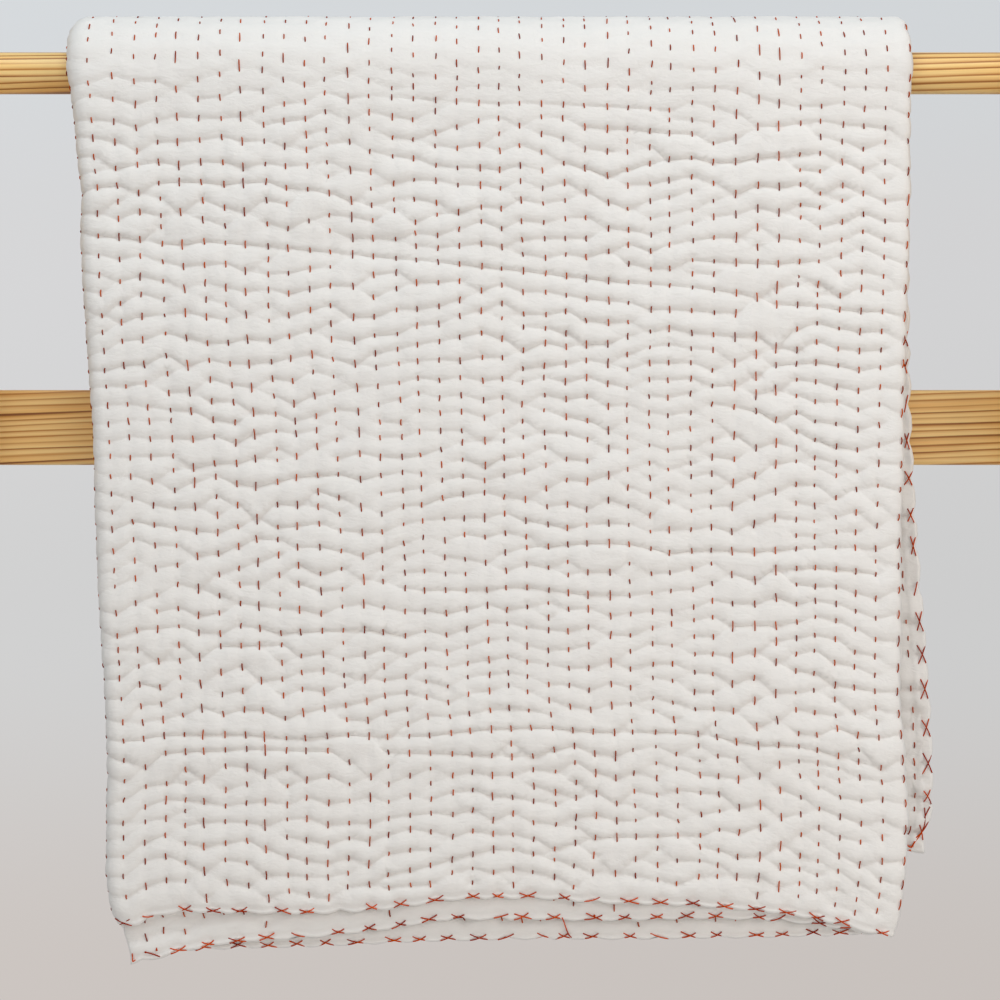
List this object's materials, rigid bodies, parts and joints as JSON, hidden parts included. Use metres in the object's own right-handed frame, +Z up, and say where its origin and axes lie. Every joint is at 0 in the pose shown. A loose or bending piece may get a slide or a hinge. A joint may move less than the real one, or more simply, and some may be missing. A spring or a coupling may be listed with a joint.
{
  "type": "kantha quilt on a pine rack with a round rail",
  "caption": "Padded white cotton quilt with rows of running stitch and crossed hems, folded lengthwise in three and hung over the round rail of a pine rack.",
  "frame": {"origin": "middle of the rack board's back face, where the rack meets what holds it", "axes": "+Z up, +Y out of the rack's back, -Y towards the viewer, +X along the rail to the viewer's right"},
  "size_m": [0.994, 0.1271, 0.8531],
  "materials": {
    "quilted_cotton": "white cotton, padded and hand quilted with rust-coloured thread",
    "pine": "clear pine with a satin varnish"
  },
  "bodies": {
    "root": {"quilt": "quilted_cotton", "top_rail": "pine", "lower_board": "pine", "left_cheek": "pine", "right_cheek": "pine"}
  },
  "joints": []
}
